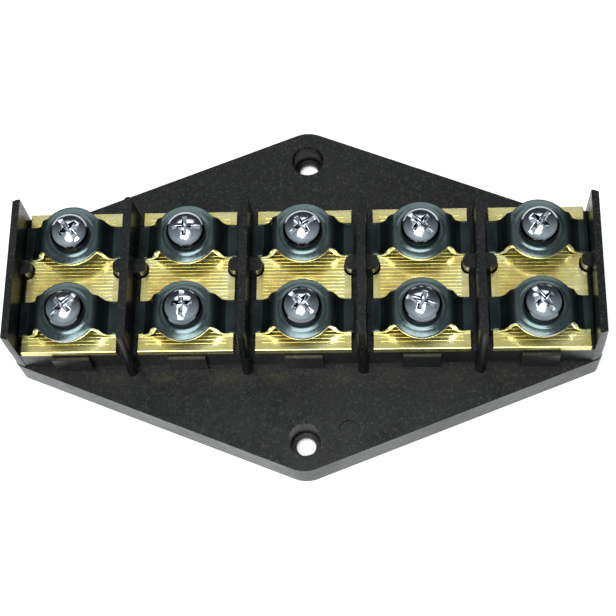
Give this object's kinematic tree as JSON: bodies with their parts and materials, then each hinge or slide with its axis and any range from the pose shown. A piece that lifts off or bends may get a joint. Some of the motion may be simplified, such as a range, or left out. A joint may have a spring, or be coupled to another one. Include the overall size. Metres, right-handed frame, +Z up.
{
  "type": "barrier terminal strip",
  "caption": "Black moulded barrier terminal strip with brass plates, saddle clamps and combination-head screws, on a hexagonal flange with a fixing hole at each point.",
  "frame": {"origin": "middle of the base's underside, where it rests on the panel", "axes": "+X along the row of terminals, +Z up towards the screw heads, -Y towards the front row of screws and the flange with the ejector dimple"},
  "size_m": [0.127, 0.08, 0.0263],
  "materials": {
    "moulding": "black phenolic-like moulding with a fine grain and a soft sheen",
    "brass_plate": "bright brass, finely serrated across the middle, smooth at both sides",
    "clamp_steel": "zinc-plated pressed sheet with a faint blue-green tint",
    "washer_steel": "zinc-plated spring steel",
    "screw_steel": "bright zinc plate"
  },
  "bodies": {
    "strip": {"base": "moulding", "terminal_plate_1": "brass_plate", "terminal_plate_2": "brass_plate", "terminal_plate_3": "brass_plate", "terminal_plate_4": "brass_plate", "terminal_plate_5": "brass_plate"},
    "clamp_front_1": {"clamp_plate_front_1": "clamp_steel", "spring_washer_front_1": "washer_steel"},
    "screw_body_front_1": {"screw_front_1": "screw_steel"},
    "clamp_front_2": {"clamp_plate_front_2": "clamp_steel", "spring_washer_front_2": "washer_steel"},
    "screw_body_front_2": {"screw_front_2": "screw_steel"},
    "clamp_front_3": {"clamp_plate_front_3": "clamp_steel", "spring_washer_front_3": "washer_steel"},
    "screw_body_front_3": {"screw_front_3": "screw_steel"},
    "clamp_front_4": {"clamp_plate_front_4": "clamp_steel", "spring_washer_front_4": "washer_steel"},
    "screw_body_front_4": {"screw_front_4": "screw_steel"},
    "clamp_front_5": {"clamp_plate_front_5": "clamp_steel", "spring_washer_front_5": "washer_steel"},
    "screw_body_front_5": {"screw_front_5": "screw_steel"},
    "clamp_rear_1": {"clamp_plate_rear_1": "clamp_steel", "spring_washer_rear_1": "washer_steel"},
    "screw_body_rear_1": {"screw_rear_1": "screw_steel"},
    "clamp_rear_2": {"clamp_plate_rear_2": "clamp_steel", "spring_washer_rear_2": "washer_steel"},
    "screw_body_rear_2": {"screw_rear_2": "screw_steel"},
    "clamp_rear_3": {"clamp_plate_rear_3": "clamp_steel", "spring_washer_rear_3": "washer_steel"},
    "screw_body_rear_3": {"screw_rear_3": "screw_steel"},
    "clamp_rear_4": {"clamp_plate_rear_4": "clamp_steel", "spring_washer_rear_4": "washer_steel"},
    "screw_body_rear_4": {"screw_rear_4": "screw_steel"},
    "clamp_rear_5": {"clamp_plate_rear_5": "clamp_steel", "spring_washer_rear_5": "washer_steel"},
    "screw_body_rear_5": {"screw_rear_5": "screw_steel"}
  },
  "joints": [
    {"name": "lift_front_1", "type": "slide", "parent": "strip", "child": "clamp_front_1", "axis": [0, 0, 1], "range_m": [0, 0.0035]},
    {"name": "turn_front_1", "type": "hinge", "parent": "clamp_front_1", "child": "screw_body_front_1", "pos_m": [-0.05, -0.0088, 0.0234], "axis": [0, 0, 1], "range_deg": [0, 1800]},
    {"name": "lift_front_2", "type": "slide", "parent": "strip", "child": "clamp_front_2", "axis": [0, 0, 1], "range_m": [0, 0.0035]},
    {"name": "turn_front_2", "type": "hinge", "parent": "clamp_front_2", "child": "screw_body_front_2", "pos_m": [-0.025, -0.0088, 0.0234], "axis": [0, 0, 1], "range_deg": [0, 1800]},
    {"name": "lift_front_3", "type": "slide", "parent": "strip", "child": "clamp_front_3", "axis": [0, 0, 1], "range_m": [0, 0.0035]},
    {"name": "turn_front_3", "type": "hinge", "parent": "clamp_front_3", "child": "screw_body_front_3", "pos_m": [0, -0.0088, 0.0234], "axis": [0, 0, 1], "range_deg": [0, 1800]},
    {"name": "lift_front_4", "type": "slide", "parent": "strip", "child": "clamp_front_4", "axis": [0, 0, 1], "range_m": [0, 0.0035]},
    {"name": "turn_front_4", "type": "hinge", "parent": "clamp_front_4", "child": "screw_body_front_4", "pos_m": [0.025, -0.0088, 0.0234], "axis": [0, 0, 1], "range_deg": [0, 1800]},
    {"name": "lift_front_5", "type": "slide", "parent": "strip", "child": "clamp_front_5", "axis": [0, 0, 1], "range_m": [0, 0.0035]},
    {"name": "turn_front_5", "type": "hinge", "parent": "clamp_front_5", "child": "screw_body_front_5", "pos_m": [0.05, -0.0088, 0.0234], "axis": [0, 0, 1], "range_deg": [0, 1800]},
    {"name": "lift_rear_1", "type": "slide", "parent": "strip", "child": "clamp_rear_1", "axis": [0, 0, 1], "range_m": [0, 0.0035]},
    {"name": "turn_rear_1", "type": "hinge", "parent": "clamp_rear_1", "child": "screw_body_rear_1", "pos_m": [-0.05, 0.0088, 0.0234], "axis": [0, 0, 1], "range_deg": [0, 1800]},
    {"name": "lift_rear_2", "type": "slide", "parent": "strip", "child": "clamp_rear_2", "axis": [0, 0, 1], "range_m": [0, 0.0035]},
    {"name": "turn_rear_2", "type": "hinge", "parent": "clamp_rear_2", "child": "screw_body_rear_2", "pos_m": [-0.025, 0.0088, 0.0234], "axis": [0, 0, 1], "range_deg": [0, 1800]},
    {"name": "lift_rear_3", "type": "slide", "parent": "strip", "child": "clamp_rear_3", "axis": [0, 0, 1], "range_m": [0, 0.0035]},
    {"name": "turn_rear_3", "type": "hinge", "parent": "clamp_rear_3", "child": "screw_body_rear_3", "pos_m": [0, 0.0088, 0.0234], "axis": [0, 0, 1], "range_deg": [0, 1800]},
    {"name": "lift_rear_4", "type": "slide", "parent": "strip", "child": "clamp_rear_4", "axis": [0, 0, 1], "range_m": [0, 0.0035]},
    {"name": "turn_rear_4", "type": "hinge", "parent": "clamp_rear_4", "child": "screw_body_rear_4", "pos_m": [0.025, 0.0088, 0.0234], "axis": [0, 0, 1], "range_deg": [0, 1800]},
    {"name": "lift_rear_5", "type": "slide", "parent": "strip", "child": "clamp_rear_5", "axis": [0, 0, 1], "range_m": [0, 0.0035]},
    {"name": "turn_rear_5", "type": "hinge", "parent": "clamp_rear_5", "child": "screw_body_rear_5", "pos_m": [0.05, 0.0088, 0.0234], "axis": [0, 0, 1], "range_deg": [0, 1800]}
  ],
  "couplings": [
    {"joint": "lift_front_1", "follows": "turn_front_1", "m_per_rad": 0.00011141},
    {"joint": "lift_front_2", "follows": "turn_front_2", "m_per_rad": 0.00011141},
    {"joint": "lift_front_3", "follows": "turn_front_3", "m_per_rad": 0.00011141},
    {"joint": "lift_front_4", "follows": "turn_front_4", "m_per_rad": 0.00011141},
    {"joint": "lift_front_5", "follows": "turn_front_5", "m_per_rad": 0.00011141},
    {"joint": "lift_rear_1", "follows": "turn_rear_1", "m_per_rad": 0.00011141},
    {"joint": "lift_rear_2", "follows": "turn_rear_2", "m_per_rad": 0.00011141},
    {"joint": "lift_rear_3", "follows": "turn_rear_3", "m_per_rad": 0.00011141},
    {"joint": "lift_rear_4", "follows": "turn_rear_4", "m_per_rad": 0.00011141},
    {"joint": "lift_rear_5", "follows": "turn_rear_5", "m_per_rad": 0.00011141}
  ]
}
